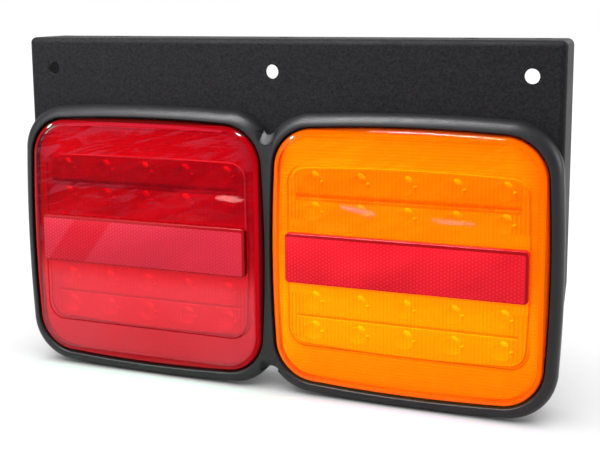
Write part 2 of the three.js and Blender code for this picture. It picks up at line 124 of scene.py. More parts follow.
def skin(bm, rings, mats=None, cap=(True, True)):
    """Skins rings of the same count with quads. mats gives each band's material number."""
    rows = [[bm.verts.new(Vector(p) * MM) for p in ring] for ring in rings]
    count = len(rows[0])
    for k in range(len(rows) - 1):
        for i in range(count):
            j = (i + 1) % count
            face = bm.faces.new((rows[k][i], rows[k][j], rows[k + 1][j], rows[k + 1][i]))
            face.material_index = mats[k] if mats else 0
    if cap[0]:
        bm.faces.new(rows[0]).material_index = mats[0] if mats else 0
    if cap[1]:
        bm.faces.new(reversed(rows[-1])).material_index = mats[-1] if mats else 0


def loft(bm, layers, x, z=LAMP_Z, mats=None, side=12, corner=20):
    """Closed skin over outlines at rising depth: layers are (rise in front of the plate, size, scale)."""
    rings = []
    for layer in layers:
        rise, size = layer[:2]
        scale = layer[2] if len(layer) > 2 else 1.0
        rings.append([(x + a * scale, FRONT - rise, z + b * scale) for a, b in outline(size, side, corner)])
    skin(bm, rings, mats)


def turned(bm, profile, x, z, segments=40, mat=0, squash=(1.0, 1.0)):
    """Closed piece turned about a line along Y: profile is (radius, rise in front of the plate)."""
    rings = []
    for radius, rise in profile:
        ring = []
        for i in range(segments):
            a = 2 * math.pi * i / segments
            across, up = squash[0] * radius * math.cos(a), squash[1] * radius * math.sin(a)
            ring.append((x + across, FRONT - rise, z + up))
        rings.append(ring)
    skin(bm, rings, [mat] * (len(rings) - 1), (profile[0][0] > 0, profile[-1][0] > 0))


def hollow(bm, profile, x, z, segments=48):
    """Ring turned about a line along Y from a closed profile."""
    turned(bm, profile + profile[:1], x, z, segments)
    bmesh.ops.delete(bm, geom=[f for f in bm.faces if len(f.verts) > 4], context="FACES_ONLY")
    bmesh.ops.remove_doubles(bm, verts=bm.verts, dist=1e-7)


def prism(bm, points, rise_front, rise_back):
    """Slab with a flat outline in the X-Z plane."""
    skin(bm, [[(a, FRONT - rise, b) for a, b in points] for rise in (rise_back, rise_front)])


def box(bm, low, high):
    made = bmesh.ops.create_cube(bm, size=1.0)["verts"]
    low, high = Vector(low) * MM, Vector(high) * MM
    for v in made:
        v.co = Vector(high[i] if v.co[i] > 0 else low[i] for i in range(3))


def thing(name, build, *args, **kw):
    """New object whose mesh is built by a function that fills a bmesh."""
    bm = bmesh.new()
    build(bm, *args, **kw)
    bmesh.ops.recalc_face_normals(bm, faces=bm.faces)
    mesh = bpy.data.meshes.new(name)
    bm.to_mesh(mesh)
    bm.free()
    obj = bpy.data.objects.new(name, mesh)
    bpy.context.scene.collection.objects.link(obj)
    return obj


def bake_down(obj):
    """Applies the modifiers."""
    dg = bpy.context.evaluated_depsgraph_get()
    mesh = bpy.data.meshes.new_from_object(obj.evaluated_get(dg), depsgraph=dg)
    obj.modifiers.clear()
    obj.data = mesh


def boolean(obj, operation, tool):
    mod = obj.modifiers.new("Boolean", "BOOLEAN")
    mod.operation, mod.object, mod.solver = operation, tool, "EXACT"
    bake_down(obj)
    bpy.data.objects.remove(tool)
    return obj


def cut(obj, build, *args, **kw):
    return boolean(obj, "DIFFERENCE", thing("tool", build, *args, **kw))


def join(obj, build, *args, **kw):
    return boolean(obj, "UNION", thing("tool", build, *args, **kw))


def bevel(obj, width, segments=2, angle=35):
    mod = obj.modifiers.new("Bevel", "BEVEL")
    mod.width, mod.segments, mod.limit_method = width * MM, segments, "ANGLE"
    mod.angle_limit = math.radians(angle)
    mod.miter_outer = "MITER_ARC"
    mod.use_clamp_overlap = True
    bake_down(obj)
    return obj


def finish_piece(obj, name, materials, nodes=(), angle=32, weighted=False):
    """Shades a piece, gives it its materials and its place in the frame."""
    obj.name = name
    obj.data.name = name
    numbers = [p.material_index for p in obj.data.polygons]
    obj.data.materials.clear()
    for m in materials:
        obj.data.materials.append(m)
    obj.data.polygons.foreach_set("material_index", numbers)
    for p in obj.data.polygons:
        p.use_smooth = True
    obj.data.set_sharp_from_angle(angle=math.radians(angle))
    if weighted:
        mod = obj.modifiers.new("Weighted", "WEIGHTED_NORMAL")
        mod.keep_sharp, mod.weight = True, 80
    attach(obj, "root")
    if nodes:
        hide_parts(*nodes)
    return obj


# ---- Materials -------------------------------------------------------------------------------------


class Nodes:
    """A material and short calls for its nodes. Every pattern is in object space, which is the row frame."""

    def __init__(self, name, **values):
        self.material = bpy.data.materials.new(name)
        self.material.use_nodes = True
        self.tree = self.material.node_tree
        self.tree.nodes.clear()
        self.out = self.add("OutputMaterial")
        self.shader = self.add("BsdfPrincipled")
        self.link(self.shader.outputs[0], self.out.inputs["Surface"])
        for key, value in values.items():
            self.shader.inputs[key.replace("_", " ")].default_value = value
        self.place = self.add("TexCoord").outputs["Object"]

    def add(self, kind):
        return self.tree.nodes.new("ShaderNode" + kind)

    def link(self, a, b):
        self.tree.links.new(a, b)

    def value(self, socket, v):
        if hasattr(v, "is_output"):
            self.link(v, socket)
        else:
            socket.default_value = v

    def noise(self, scale, detail=3.0, rough=0.55, stretch=None, turn=0.0, distort=0.0):
        node = self.add("TexNoise")
        node.inputs["Scale"].default_value = scale
        node.inputs["Detail"].default_value = detail
        node.inputs["Roughness"].default_value = rough
        node.inputs["Distortion"].default_value = distort
        vector = self.place
        if stretch:
            mapping = self.add("Mapping")
            mapping.vector_type = "TEXTURE"
            mapping.inputs["Scale"].default_value = [1 / s for s in stretch]
            mapping.inputs["Rotation"].default_value = (0, turn, 0)
            self.link(vector, mapping.inputs["Vector"])
            vector = mapping.outputs[0]
        self.link(vector, node.inputs["Vector"])
        return node.outputs["Fac"]

    def maths(self, operation, a, b=0.0, c=0.0):
        node = self.add("Math")
        node.operation = operation
        for socket, v in zip(node.inputs, (a, b, c)):
            self.value(socket, v)
        return node.outputs[0]

    def axes(self):
        node = self.add("SeparateXYZ")
        self.link(self.place, node.inputs[0])
        return node.outputs

    def span(self, v, low, high, to_low=0.0, to_high=1.0):
        """Takes low to high evenly to to_low to to_high, and stays at the ends beyond."""
        node = self.add("MapRange")
        for socket, x in zip(node.inputs, (v, low, high, to_low, to_high)):
            self.value(socket, x)
        return node.outputs[0]

    def ramp(self, v, *stops):
        node = self.add("ValToRGB")
        ramp = node.color_ramp
        while len(ramp.elements) < len(stops):
            ramp.elements.new(0.5)
        for element, (at, colour) in zip(ramp.elements, stops):
            element.position, element.color = at, (*colour, 1)
        self.link(v, node.inputs[0])
        return node.outputs[0]

    def blend(self, factor, a, b):
        node = self.add("Mix")
        node.data_type = "RGBA"
        self.value(node.inputs[0], factor)
        for socket, v in zip((node.inputs[6], node.inputs[7]), (a, b)):
            self.value(socket, v if hasattr(v, "is_output") else (*v, 1))
        return node.outputs[2]

    def bump(self, height, strength, depth, under=None):
        node = self.add("Bump")
        node.inputs["Strength"].default_value = strength
        node.inputs["Distance"].default_value = depth * MM
        self.link(height, node.inputs["Height"])
        if under is not None:
            self.link(under, node.inputs["Normal"])
        return node.outputs[0]

    def set(self, name, v):
        self.value(self.shader.inputs[name], v)

    def lamp_axes(self):
        """Place across and up from the middle of the nearer lamp."""
        x, _, z = self.axes()
        across = self.maths("SUBTRACT", x, self.maths("MULTIPLY", self.maths("SIGN", x), LAMPS["amber"] * MM))
        return across, self.maths("SUBTRACT", z, LAMP_Z * MM)

    def from_box(self, across, up, half_w, half_h, corner):
        """Distance in millimetres outside a rectangle with round corners, below zero inside it."""
        q = []
        for v, half in ((across, half_w), (up, half_h)):
            away = self.maths("MULTIPLY", self.maths("ABSOLUTE", v), 1 / MM)
            q.append(self.maths("SUBTRACT", away, half - corner))
        beyond = [self.maths("MAXIMUM", v, 0.0) for v in q]
        out = self.maths("SQRT", self.maths("ADD", *[self.maths("MULTIPLY", v, v) for v in beyond]))
        within = self.maths("MINIMUM", self.maths("MAXIMUM", *q), 0.0)
        return self.maths("SUBTRACT", self.maths("ADD", out, within), corner)

    def wave(self, v, period):
        """Sine from -1 to 1 with a period in millimetres."""
        return self.maths("SINE", self.maths("MULTIPLY", v, 2 * math.pi / (period * MM)))

    def times(self, *values):
        result = values[0]
        for v in values[1:]:
            result = self.maths("MULTIPLY", result, v)
        return result

    def stripe(self, v, middle, half, soft):
        """1 within half of the middle, 0 beyond a soft edge."""
        away = self.maths("ABSOLUTE", self.maths("SUBTRACT", v, middle))
        return self.span(away, half, half + soft, 1.0, 0.0)


def powder_coat():
    n = Nodes("powder_coat", Specular_IOR_Level=0.08, Sheen_Weight=0.08, Sheen_Roughness=0.4)
    sand, cloud = n.noise(1100, 4, 0.75), n.noise(45, 3)
    n.set("Base Color", n.blend(n.span(sand, 0.35, 0.7), (0.0016, 0.0015, 0.0019), (0.0115, 0.0108, 0.0118)))
    n.set("Roughness", n.span(cloud, 0.3, 0.7, 0.5, 0.62))
    orange = n.bump(n.noise(420, 2), 0.25, 0.25)
    n.set("Normal", n.bump(sand, 0.4, 0.08, orange))
    return n.material


def moulded(name, low, high, rough, grain, strength, level=0.4):
    n = Nodes(name, Specular_IOR_Level=level)
    fine, cloud = n.noise(grain, 3, 0.6), n.noise(60, 3)
    n.set("Base Color", n.blend(cloud, low, high))
    n.set("Roughness", n.span(n.noise(130, 3), 0.3, 0.7, rough - 0.05, rough + 0.06))
    n.set("Normal", n.bump(fine, strength, 0.06))
    return n.material


def rubber():
    n = Nodes("rubber", Specular_IOR_Level=0.3)
    n.set("Base Color", n.blend(n.noise(300, 3), (0.009, 0.009, 0.009), (0.018, 0.018, 0.017)))
    n.set("Roughness", n.span(n.noise(90, 2), 0.3, 0.7, 0.72, 0.88))
    n.set("Normal", n.bump(n.noise(1700, 3), 0.3, 0.08))
    return n.material


def zinc():
    n = Nodes("zinc_steel", Metallic=1.0)
    patches = n.noise(260, 4, 0.6)
    n.set("Base Color", n.blend(patches, (0.5, 0.52, 0.56), (0.72, 0.72, 0.7)))
    n.set("Roughness", n.span(n.noise(900, 3), 0.25, 0.75, 0.24, 0.42))
    n.set("Normal", n.bump(n.noise(2600, 3), 0.15, 0.04))
    return n.material


def let_light(n, tint):
    """Lamps reach what is behind the clear shader, tinted by it."""
    path, clear, mix = n.add("LightPath"), n.add("BsdfTransparent"), n.add("MixShader")
    clear.inputs[0].default_value = (*tint, 1)
    n.link(path.outputs["Is Shadow Ray"], mix.inputs[0])
    n.link(n.shader.outputs[0], mix.inputs[1])
    n.link(clear.outputs[0], mix.inputs[2])
    n.link(mix.outputs[0], n.out.inputs["Surface"])


# Colours of the lenses: what the plastic lets through, and for veil, smear, rim and side what it scatters.
# Painted light among them: high is painted shade at the top, low painted light below, veil, smear, streak and
# dark paint reflections, side paints shade, spark paints glints.
TINTS = {
    "red": {
        "face": (0.37, 0.001, 0.004), "high": (0.26, 0.0, 0.002), "low": (0.80, 0.001, 0.006),
        "streak": (0.45, 0.018, 0.036), "dark": (0.25, 0.0, 0.001), "smear": (0.33, 0.070, 0.115),
        "veil": (0.80, 0.17, 0.21), "rim": (0.42, 0.001, 0.004), "side": (0.125, 0.003, 0.002),
        "spark": (0.70, 0.012, 0.012), "lamp": (0.9, 0.4, 0.4), "gloss": (1.0, 0.08, 0.25, 1),
    },
    "amber": {
        "face": (1.0, 0.18, 0.0), "high": (1.0, 0.13, 0.0), "low": (1.0, 0.41, 0.0),
        "streak": (1.0, 0.21, 0.0), "dark": (1.0, 0.145, 0.0), "smear": (1.0, 0.34, 0.01),
        "veil": (1.0, 0.40, 0.02), "rim": (1.0, 0.155, 0.0), "side": (0.60, 0.085, 0.001),
        "spark": (1.0, 0.29, 0.02), "lamp": (1.0, 0.92, 0.4), "gloss": (1.0, 0.60, 0.05, 1),
    },
}


def inset_of(n):
    """How far inside its outline a point of a lens is, in millimetres."""
    edge = n.add("Attribute")
    edge.attribute_name = "inset"
    return edge.outputs["Fac"]


def sparks(n, across, up):
    """1 in the small slanted oval in front of each LED, where a glint is painted."""
    half = LED_PITCH / 2 * MM
    column = n.maths("WRAP", n.maths("SUBTRACT", across, SPARK[0] * MM), half, -half)
    from_row = n.maths("SUBTRACT", up, n.maths("MULTIPLY", n.maths("SIGN", up), LED_ROWS[1] * MM))
    row_half = (LED_ROWS[0] - LED_ROWS[1]) / 2 * MM
    row = n.maths("WRAP", n.maths("SUBTRACT", from_row, SPARK[1] * MM), row_half, -row_half)
    c, s = math.cos(SPARK_TURN), math.sin(SPARK_TURN)
    along = n.maths("ADD", n.times(column, c / (2.3 * MM)), n.times(row, s / (2.3 * MM)))
    beside = n.maths("SUBTRACT", n.times(row, c / (1.25 * MM)), n.times(column, s / (1.25 * MM)))
    out = n.maths("ADD", n.times(along, along), n.times(beside, beside))
    on_pad = n.stripe(n.maths("ABSOLUTE", up), 0.0300, 0.0150, 0.0010)
    return n.times(n.span(out, 0.5, 1.2, 1.0, 0.0), on_pad)


def lens_outer(side):
    """Polished skin of a lens, with painted reflections in streaks and a pale veil, and painted light and
    shade. The thick rim is denser.
    """
    tint = TINTS[side]
    red = side == "red"
    n = Nodes(f"{side}_lens", IOR=1.32, Specular_Tint=tint["gloss"])
    inset = inset_of(n)
    across, up = n.lamp_axes()
    # Darker and lighter streaks are painted reflections of the surroundings.
    reflection_noise = n.noise(9, 4, 0.62, (1.0, 1.0, 3.8), -0.25, 1.4)
    face = n.ramp(reflection_noise, (0.38, tint["dark"]), (0.5, tint["face"]), (0.62, tint["streak"]))
    # Painted shade darkens the top and painted light brightens the lower half.
    face = n.blend(n.span(up, 0.034 if red else 0.041, 0.050), face, tint["high"])
    face = n.blend(n.span(up, 0.004, -0.020), face, tint["low"])
    # Painted shadow in a band round the reflex bar's pocket.
    bar_shadow = n.span(n.from_box(across, up, 58.7, 12.6, 1.5), 0.8, 1.7, 1.0, 0.0)
    face = n.blend(n.times(bar_shadow, 0.8), face, tint["rim"])
    # Painted reflections give a pale veil: in streaks in the upper left, and over the lower half of the red
    # lens. A painted highlight runs along the panel's upper outline.
    reflection_noise = n.noise(30, 4, 0.66, (1.0, 1.0, 5.4), -0.26, 0.9)
    high_left = n.span(n.maths("SUBTRACT", up, n.times(across, 0.5)), -0.020, 0.045)
    channel = n.from_box(across, n.maths("SUBTRACT", up, CHANNEL_UP * MM), *CHANNEL)
    streaks = n.span(reflection_noise, 0.48, 0.58, 0.0, 0.7 if red else 0.25)
    smear = n.times(streaks, high_left, n.span(channel, -0.5, 0.5, 0.1, 1.0))
    face = n.blend(smear, face, tint["smear"])
    low = n.times(n.span(up, -0.004, -0.022), n.span(n.noise(12, 2, 0.5, (1, 1, 2)), 0.3, 0.6, 0.56, 0.78))
    pad = n.from_box(across, up, *PAD[:3])
    upper = n.span(n.maths("ADD", up, n.times(across, 0.8)), 0.0, 0.02)
    edge = n.times(n.stripe(pad, 0.0, 0.22, 0.25), upper, 0.35 if red else 0.05)
    # Painted shade along the panel's lower left outline.
    under = n.times(n.stripe(pad, 0.0, 0.2, 0.25), n.span(upper, 0.0, 0.4, 0.8 if red else 0.4, 0.0))
    veil = n.maths("MAXIMUM", n.times(low, 1.0 if red else 0.1), edge)
    veil = n.times(veil, n.maths("SUBTRACT", 1.0, under))
    face = n.blend(under, n.blend(veil, face, tint["veil"]), tint["dark"])
    painted_glare = n.times(n.maths("MAXIMUM", veil, smear), n.span(inset, 4.0, 4.8))
    rim = n.blend(n.span(inset, 3.9, 4.7), tint["rim"], face)
    # Painted shade on the side wall, in a band that is wider at the top and the right.
    shaded = n.maths("MAXIMUM", n.span(up, 0.050, 0.058), n.span(across, 0.050, 0.058))
    wall = n.maths("SUBTRACT", inset, n.times(shaded, 1.5))
    n.set("Base Color", n.blend(n.span(wall, 0.25, 0.6), tint["side"], rim))
    clearness = n.span(inset, 3.5, 4.6, 0.25, 0.94)
    n.set("Transmission Weight", n.maths("SUBTRACT", clearness, n.times(painted_glare, 0.25)))
    n.set("Roughness", n.span(n.noise(25, 2), 0.3, 0.7, 0.015, 0.045))
    n.set("Normal", n.bump(n.noise(14, 2, 0.5, (1.0, 1.0, 3.2), -0.26), 0.12, 0.6))
    let_light(n, tint["lamp"])
    return n.material


def lens_inner(side):
    """Inner face of a lens: upright flutes before the rows, level ribs round them, a knurl inside the rim, and
    painted glints before the LEDs.
    """
    tint = TINTS[side]
    n = Nodes(f"{side}_lens_inner", IOR=1.32, Specular_Tint=tint["gloss"], Transmission_Weight=0.94)
    across, up = n.lamp_axes()
    pad = n.from_box(across, up, *PAD[:3])
    outside = n.span(pad, -0.3, 0.3)
    flutes = n.times(n.wave(across, 1.7), n.maths("SUBTRACT", 1.0, outside))
    pattern = n.maths("ADD", flutes, n.times(n.wave(up, 2.1), outside))
    patch = n.span(n.noise(26, 2), 0.42, 0.6, 0.3, 1.0)
    grooved = n.times(n.span(pattern, -1.0, 1.0), patch)
    plain = n.blend(grooved, tint["face"], tuple(c * 0.86 for c in tint["face"]))
    # Painted glints: a lighter tint in a slanted oval before each LED, fainter on the red lens's lower half.
    flash = n.times(sparks(n, across, up), n.span(up, -0.005, 0.005, 0.3 if side == "red" else 1.0, 1.0))
    plain = n.blend(flash, plain, tint["spark"])
    band = n.stripe(inset_of(n), 5.2, 0.35, 0.25)
    dots = n.span(n.wave(n.maths("ADD", across, up), 1.8), -0.4, 0.4)
    n.set("Base Color", n.blend(n.times(band, dots), plain, tuple(c * 0.6 for c in tint["face"])))
    polish = n.span(n.noise(70, 2), 0.3, 0.7, 0.02, 0.05)
    n.set("Roughness", n.maths("MAXIMUM", polish, n.span(inset_of(n), 4.4, 5.2, 0.45, 0.0)))
    n.set("Normal", n.bump(pattern, 0.08, 0.04))
    let_light(n, tint["lamp"])
    return n.material


def reflex_face():
    """Front of a reflex bar: a lattice of tiny corner prisms under a smooth skin."""
    n = Nodes("reflex_face", Specular_IOR_Level=0.3, Specular_Tint=(1.0, 0.35, 0.42, 1))
    x, _, z = n.axes()
    k = 2 * math.pi / (1.6 * MM)
    cells = 0.0
    for across, up in ((1.0, 0.0), (0.5, 0.866), (0.5, -0.866)):
        wave = n.maths("ADD", n.maths("MULTIPLY", x, k * across), n.maths("MULTIPLY", z, k * up))
        cells = n.maths("ADD", cells, n.maths("COSINE", wave))
    cells = n.maths("MULTIPLY", cells, 0.4)
    broad = n.noise(18, 2, 0.5, (1, 1, 2), -0.5)
    tone = n.span(n.maths("ADD", n.maths("MULTIPLY", cells, 0.13), broad), 0.1, 0.9, 0.0, 1.0)
    across, up = n.lamp_axes()
    lattice = n.from_box(n.maths("ADD", across, 0.0005), n.maths("ADD", up, 0.0006), 57.4, 11.1, 1.0)
    border = n.span(lattice, -0.1, 0.15)
    shades = (0.0, (0.25, 0.001, 0.004)), (0.5, (0.40, 0.004, 0.010)), (1.0, (0.54, 0.009, 0.018))
    prisms = n.ramp(tone, *shades)
    # The bar of the red lamp is duller, and one deeper slanted band on it is a painted reflection.
    red_lamp = n.span(x, -0.001, 0.001, 1.0, 0.0)
    prisms = n.blend(n.times(red_lamp, 0.7), prisms, (0.25, 0.012, 0.025))
    band = n.stripe(n.maths("SUBTRACT", across, n.times(up, 0.75)), -0.036, 0.010, 0.002)
    prisms = n.blend(n.times(red_lamp, band, 0.75), prisms, (0.27, 0.0, 0.005))
    n.set("Base Color", n.blend(border, prisms, (0.17, 0.0, 0.001)))
    cells = n.times(cells, n.maths("SUBTRACT", 1.0, border))
    n.set("Roughness", n.span(cells, -1.0, 1.0, 0.2, 0.34))
    n.set("Normal", n.bump(cells, 0.25, 0.08))
    return n.material


def reflex_wall():
    n = Nodes("reflex_wall", Specular_IOR_Level=0.4, Specular_Tint=(1.0, 0.5, 0.5, 1))
    wall = n.blend(n.noise(120, 2), (0.30, 0.0, 0.002), (0.42, 0.001, 0.006))
    red_lamp = n.span(n.axes()[0], -0.001, 0.001, 0.7, 0.0)
    n.set("Base Color", n.blend(red_lamp, wall, (0.05, 0.0, 0.0)))
    n.set("Roughness", n.span(n.noise(200, 2), 0.3, 0.7, 0.12, 0.24))
    return n.material


def optic_pad():
    """White optic plate behind a lens, with grooves that part the rows. Painted shade lies round the top rows,
    in the grooves and along the pad's lower left outline.
    """
    n = Nodes("optic_plate", Specular_IOR_Level=0.5)
    across, up = n.lamp_axes()
    pad = n.from_box(across, up, *PAD[:3])
    on_pad = n.span(pad, -0.3, 0.3, 1.0, 0.0)
    upright = n.times(n.wave(across, 1.9), on_pad)
    level = n.times(n.wave(up, 1.6), n.maths("SUBTRACT", 1.0, on_pad))
    ends = n.span(n.maths("ABSOLUTE", across), 0.046, 0.052)
    # Painted shade in a channel round the top row and in the grooves; dark stripes at the flute ends by the
    # rows.
    channel = n.from_box(across, n.maths("SUBTRACT", up, CHANNEL_UP * MM), *CHANNEL)
    shade = n.span(channel, -0.4, 0.4, 0.26, 0.0)
    within = n.stripe(across, 0.0, 0.0540, 0.0005)
    for middle, half, dark in ((GROOVE_UP, 1.8, 0.6), (-GROOVE_UP, 0.4, 0.5)):
        groove = n.stripe(up, middle * MM, half * MM, 0.0004)
        shade = n.maths("MAXIMUM", shade, n.times(groove, within, dark))
    shade = n.times(shade, n.span(n.noise(150, 3, 0.6), 0.35, 0.65, 0.7, 1.1))
    by_rows = n.stripe(n.maths("ABSOLUTE", up), 0.0300, 0.0110, 0.0010)
    flute_end = n.times(ends, n.span(n.wave(across, 1.9), 0.0, 0.5), by_rows, 0.45)
    shade = n.maths("MAXIMUM", shade, n.times(flute_end, on_pad))
    # Painted shade along the pad's lower left outline.
    lower = n.maths("MAXIMUM", n.span(up, -0.040, -0.025, 1.0, 0.0), n.span(across, -0.056, -0.050, 1.0, 0.0))
    shade = n.maths("MAXIMUM", shade, n.times(n.stripe(pad, 0.35, 0.35, 0.25), lower, 0.7))
    ribs = n.span(n.maths("ADD", upright, level), -1.0, 1.0)
    white = n.blend(ribs, (0.66, 0.66, 0.65), (0.77, 0.77, 0.76))
    n.set("Base Color", n.blend(shade, white, (0.10, 0.10, 0.10)))
    n.set("Roughness", n.span(n.noise(150, 2), 0.3, 0.7, 0.2, 0.32))
    n.set("Normal", n.bump(ribs, 0.3, 0.12))
    return n.material


def plate_edge():
    """Step round the plate's raised pad, with painted highlight where it faces up and painted shade where it
    faces down.
    """
    n = Nodes("optic_edge", Specular_IOR_Level=0.5)
    across, up = n.lamp_axes()
    grain = n.noise(200, 2)
    bright = n.blend(grain, (0.66, 0.66, 0.66), (0.74, 0.74, 0.74))
    dark = n.blend(grain, (0.40, 0.40, 0.40), (0.48, 0.48, 0.48))
    n.set("Base Color", n.blend(n.span(up, -0.035, 0.0), dark, bright))
    n.set("Roughness", n.span(n.noise(150, 2), 0.3, 0.7, 0.2, 0.3))
    return n.material


def lenslet():
    """Small domed bead by each LED, pale and brighter than the plate: a painted glint."""
    n = Nodes("optic_lenslet", Specular_IOR_Level=0.6)
    n.set("Base Color", n.blend(n.noise(500, 2), (0.84, 0.81, 0.72), (0.90, 0.88, 0.80)))
    n.set("Roughness", n.span(n.noise(400, 2), 0.3, 0.7, 0.08, 0.16))
    return n.material


def board_white():
    n = Nodes("circuit_board", Specular_IOR_Level=0.5)
    n.set("Base Color", n.blend(n.noise(180, 3), (0.68, 0.7, 0.66), (0.8, 0.81, 0.78)))
    n.set("Roughness", n.span(n.noise(400, 2), 0.3, 0.7, 0.28, 0.42))
    n.set("Normal", n.bump(n.noise(1200, 2), 0.1, 0.05))
    return n.material


def led_strip():
    """White strip with yellow domes, told apart by how far forward they stand."""
    n = Nodes("led", Specular_IOR_Level=0.6)
    dome = n.span(n.axes()[1], (FRONT + 8.1) * MM, (FRONT + 8.3) * MM, 1.0, 0.0)
    white = n.blend(n.noise(300, 2), (0.7, 0.7, 0.68), (0.82, 0.82, 0.8))
    n.set("Base Color", n.blend(dome, white, (0.9, 0.62, 0.12)))
    n.set("Roughness", n.span(n.noise(500, 2), 0.3, 0.7, 0.2, 0.35))
    return n.material


STEEL = powder_coat()
SURROUND_BLACK = moulded(
    "surround_plastic", (0.0050, 0.0047, 0.0056), (0.0074, 0.0070, 0.0081), 0.4, 2400, 0.22, 0.28
)
HOUSING_BLACK = moulded("housing_plastic", (0.009, 0.009, 0.01), (0.014, 0.014, 0.014), 0.5, 1500, 0.3)
RUBBER, ZINC = rubber(), zinc()
REFLEX_FACE, REFLEX_WALL = reflex_face(), reflex_wall()
PLATE_WHITE, PLATE_EDGE, LENSLET = optic_pad(), plate_edge(), lenslet()
BOARD, LED = board_white(), led_strip()

# ---- Bracket ---------------------------------------------------------------------------------------


def folded_block(bm, inset, overrun):
    """Block with the three folded edges and the two upright front edges rounded."""
    low = (inset - HALF_WIDTH, FRONT + inset, LOWEST - overrun)
    box(bm, low, (HALF_WIDTH - inset, BACK + overrun, -inset))
    front, top = (FRONT + inset) * MM, -inset * MM
    folds = []
    for e in bm.edges:
        a, b = e.verts[0].co, e.verts[1].co
        at_front = abs(a.y - front) < 1e-6 and abs(b.y - front) < 1e-6
        at_top = abs(a.z - top) < 1e-6 and abs(b.z - top) < 1e-6
        upright, level = abs(a.z - b.z) > 1e-4, abs(a.x - b.x) > 1e-4
        runs_back = not level and abs(a.y - b.y) > 1e-4
        if (at_front and (upright or at_top)) or (at_top and runs_back):
            folds.append(e)
    radius = (FOLD - inset) * MM
    kind = {"offset_type": "OFFSET", "affect": "EDGES"}
    bmesh.ops.bevel(bm, geom=folds, offset=radius, segments=7, profile=0.5, **kind)


def holes(bm, places, radius, low, high, upright=False):
    """Drills along Y, or along Z where upright."""
    for a, b in places:
        rings = []
        for end in (low, high):
            ring = []
            for i in range(56):
                t = 2 * math.pi * i / 56
                p, q = a + radius * math.cos(t), b + radius * math.sin(t)
                ring.append((p, q, end) if upright else (p, end, q))
            rings.append(ring)
        skin(bm, rings)


def bracket():
    obj = thing("bracket_shell", folded_block, 0, 0)
    cut(obj, folded_block, THICK, 5)
    # Below the side flanges only a lobe behind each lamp and a web between the lobes are kept.
    keep = thing("keep", box, (-141, -15, -125), (141, 15, 1))
    lobe = (HALF_WIDTH - 3.5 - LAMPS["amber"], 68.5, 23.0, 1.3)
    for x in LAMPS.values():
        join(keep, loft, [(-2.0, lobe), (1.0, lobe)], x)
    side, middle = LAMP_Z - 59.3, LAMP_Z - 55.3
    web = [(-9, -120), (-9, side), (-3, middle), (3, middle), (9, side), (9, -120)]
    join(keep, prism, web, 1.0, -2.0)
    boolean(obj, "INTERSECT", keep)

    def slant(bm):
        points = [(15, -126), (15, -115), (4, -126)]
        skin(bm, [[(x, y, z) for y, z in points] for x in (-141, 141)])

    cut(obj, slant)
    cut(obj, holes, [(x, -16) for x in (-125, 0, 125)], 3.5, -16, -10)
    cut(obj, holes, [(x, FRONT + 19.2) for x in (-127.5, -93.7, 0, 93.7, 127.5)], 4.0, -4, 2, True)
    bolts = [(x, LAMP_Z + s * BOLT_RISE) for x in LAMPS.values() for s in (-1, 1)]
    cut(obj, holes, bolts, BOLT_HOLE, -16, -10)
    for x in LAMPS.values():
        cut(obj, loft, [(-4.0, CUTOUT), (2.0, CUTOUT)], x)
    bevel(obj, 0.3, 3, 40)
    return finish_piece(obj, "bracket_shell", [STEEL], ["bracket"], 40, True)


# ---- Surround --------------------------------------------------------------------------------------


def frame_outer(bm, x):
    layers = [(0.05, shrink(SURROUND, 0.35)), (0.4, SURROUND), (3.6, SURROUND)]
    for step in range(1, 17):
        a = step / 16 * math.pi / 2
        layers.append((3.6 + 5.4 * math.sin(a) ** 1.1, shrink(SURROUND, 5.2 * (1 - math.cos(a) ** 1.1))))
    loft(bm, layers, x)


def mouth(bm, x):
    flare = [(-1.0, 0), (8.0, 0), (8.4, -0.05), (8.7, -0.16), (8.86, -0.3), (8.94, -0.45), (9.6, -1.5)]
    loft(bm, [(rise, shrink(OPENING, by)) for rise, by in flare], x)


def notch_web(bm, direction):
    """Flat web that fills the valley between the two frames, with a filleted end."""
    start, tip, apex, fillet, half = 20.0, 59.8, 58.7, 2.7, 3.4
    points = [(half, start), (half, tip)]
    for i in range(13):
        a = 2.18 * (1 - i / 6)
        points.append((a, apex + fillet - math.sqrt(fillet**2 - a**2)))
    points += [(-half, tip), (-half, start)]
    prism(bm, [(a, LAMP_Z + direction * b) for a, b in points], 8.97, 0.05)


def notch_scoop(bm, direction):
    """Dished ramp that leads from the web's front down into the notch."""
    start, end, steps = 54.4, 61.0, 30
    rings = []
    for k in range(steps + 1):
        z = start + (end - start) * k / steps
        into = min(1.0, (z - start) / 2.2)
        half = 3.7 * math.sqrt(max(0.0, 1 - (1 - into) ** 2)) - 0.13 * (z - start) + 0.1
        floor_rise = 9.05 - 1.0 * (z - start)
        ring = [(half + 0.55 * (9.8 - floor_rise), 9.8)]
        for i in range(9):
            a = 1 - i / 4
            ring.append((half * a, floor_rise + 0.5 * abs(a) ** 4))
        ring.append((-half - 0.55 * (9.8 - floor_rise), 9.8))
        rings.append([(a, FRONT - rise, LAMP_Z + direction * z) for a, rise in ring])
    skin(bm, rings)


def ledge(bm, x):
    """Shelf inside a window, which the lamp's rim rests on."""
    rings = []
    wide = shrink(OPENING, -0.6)
    for rise, size in ((2.1, wide), (0.9, wide), (0.9, CUTOUT), (2.1, CUTOUT), (2.1, wide)):
        rings.append([(x + a, FRONT - rise, LAMP_Z + b) for a, b in outline(size)])
    skin(bm, rings, cap=(False, False))
    bmesh.ops.remove_doubles(bm, verts=bm.verts, dist=1e-7)


